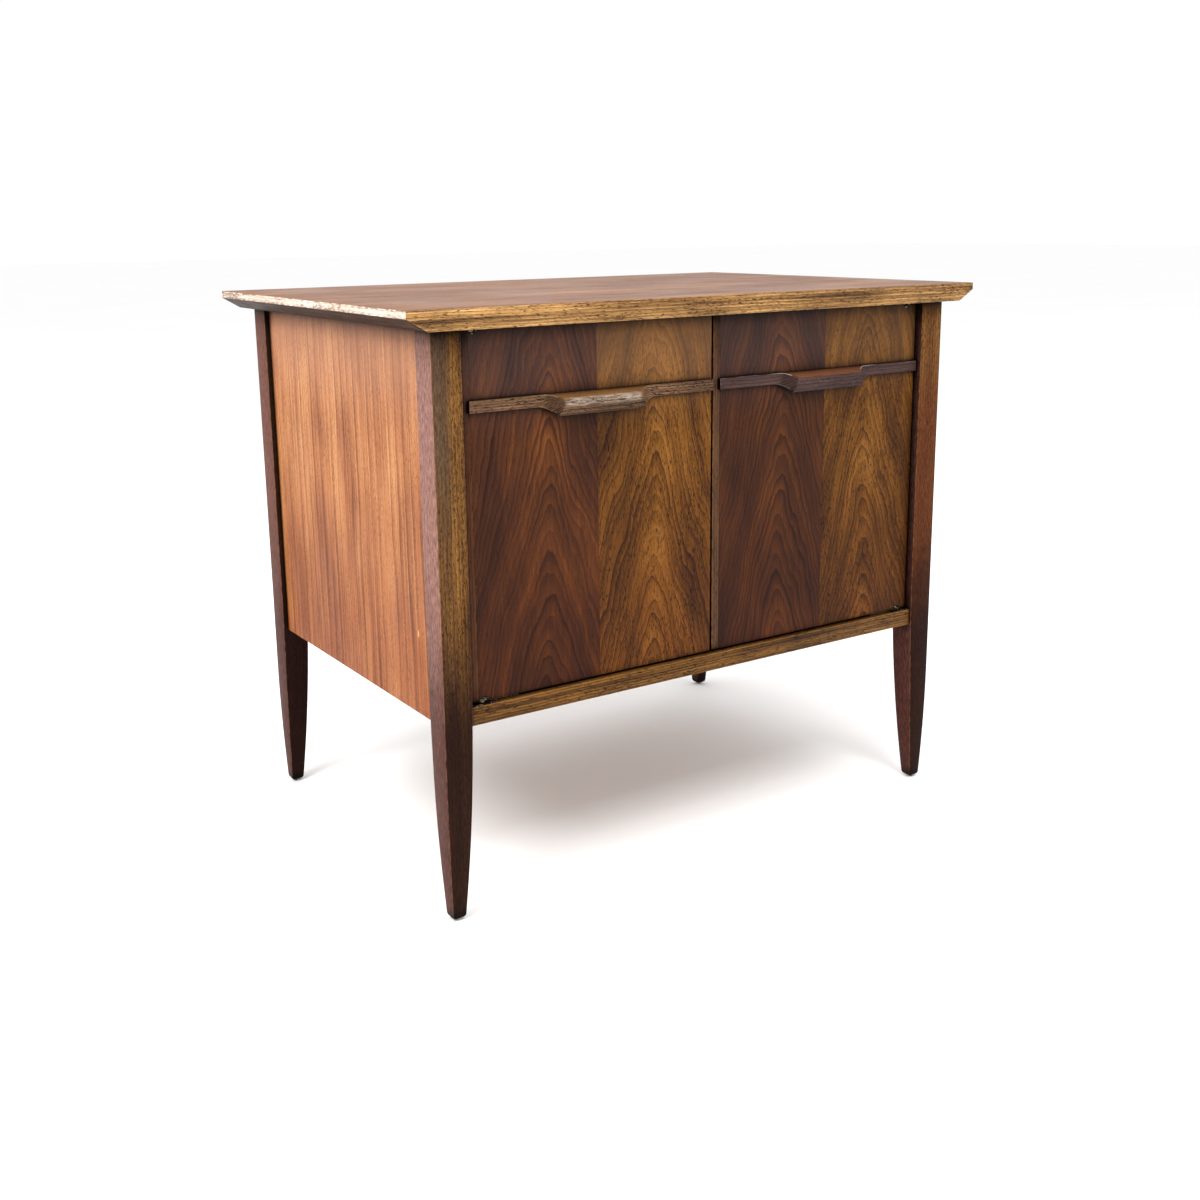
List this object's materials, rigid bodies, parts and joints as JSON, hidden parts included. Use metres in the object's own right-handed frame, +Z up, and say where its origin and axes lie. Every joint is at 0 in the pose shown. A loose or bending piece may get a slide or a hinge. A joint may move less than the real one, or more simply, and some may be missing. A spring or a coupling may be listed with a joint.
{
  "type": "sideboard buffet",
  "caption": "Walnut sideboard with hinged doors on bowed square legs, a thin overhanging top with bevelled ends, full-width scooped wooden pulls and knife hinges.",
  "frame": {"origin": "on the floor at the centre of the four feet", "axes": "+X to the right along the width, -Y out of the front, +Z up"},
  "size_m": [0.832, 0.563, 0.7],
  "materials": {
    "leg_walnut": "satin open-pore oil",
    "top_veneer": "satin",
    "edge_walnut": "satin, worn",
    "side_veneer": "satin",
    "veneer_dark": "satin",
    "veneer_gold": "satin",
    "strip_walnut": "satin",
    "pull_light": "worn satin",
    "pull_dark": "satin",
    "inner_board": "matte",
    "brass": "aged",
    "steel": "zinc plated",
    "catch_plastic": "matte"
  },
  "bodies": {
    "cabinet": {"top_panel": "top_veneer", "top_front_lipping": "edge_walnut", "top_back_lipping": "edge_walnut", "top_left_lipping": "edge_walnut", "top_right_lipping": "edge_walnut", "leg_front_left": "leg_walnut", "leg_front_right": "leg_walnut", "leg_rear_left": "leg_walnut", "leg_rear_right": "leg_walnut", "foot_glides": "steel", "side_panel_left": "side_veneer", "side_panel_right": "side_veneer", "bottom_panel": "inner_board", "bottom_front_rail": "edge_walnut", "back_panel": "inner_board", "top_rail_front": "inner_board", "top_rail_back": "inner_board", "top_cleat_left": "inner_board", "top_cleat_right": "inner_board", "joint_dowels": "inner_board", "shelf_board": "inner_board", "shelf_front_lipping": "edge_walnut", "shelf_pins": "brass", "top_fixing_screws": "steel", "back_panel_screws": "steel", "frame_leaf_top_left": "brass", "frame_leaf_bottom_left": "brass", "frame_leaf_top_right": "brass", "frame_leaf_bottom_right": "brass", "frame_leaf_screws": "brass", "catch_left": "catch_plastic", "catch_right": "catch_plastic", "catch_screws": "steel"},
    "left_door": {"door_left_panel": "inner_board", "door_left_strip": "strip_walnut", "door_left_edges": "edge_walnut", "door_left_veneer_dark": "veneer_dark", "door_left_veneer_gold": "veneer_gold", "pull_left": "pull_light", "pull_left_screws": "steel", "door_leaf_top_left": "brass", "door_leaf_bottom_left": "brass", "door_leaf_screws_left": "brass", "strike_left": "steel"},
    "right_door": {"door_right_panel": "inner_board", "door_right_strip": "strip_walnut", "door_right_edges": "edge_walnut", "door_right_veneer_dark": "veneer_dark", "door_right_veneer_gold": "veneer_gold", "pull_right": "pull_dark", "pull_right_screws": "steel", "door_leaf_top_right": "brass", "door_leaf_bottom_right": "brass", "door_leaf_screws_right": "brass", "strike_right": "steel"}
  },
  "joints": [
    {"name": "left_door_hinge", "type": "hinge", "parent": "cabinet", "child": "left_door", "pos_m": [-0.326, -0.2485, 0.255], "axis": [0, 0, -1], "range_deg": [0, 105]},
    {"name": "right_door_hinge", "type": "hinge", "parent": "cabinet", "child": "right_door", "pos_m": [0.326, -0.2485, 0.255], "axis": [0, 0, 1], "range_deg": [0, 105]}
  ]
}
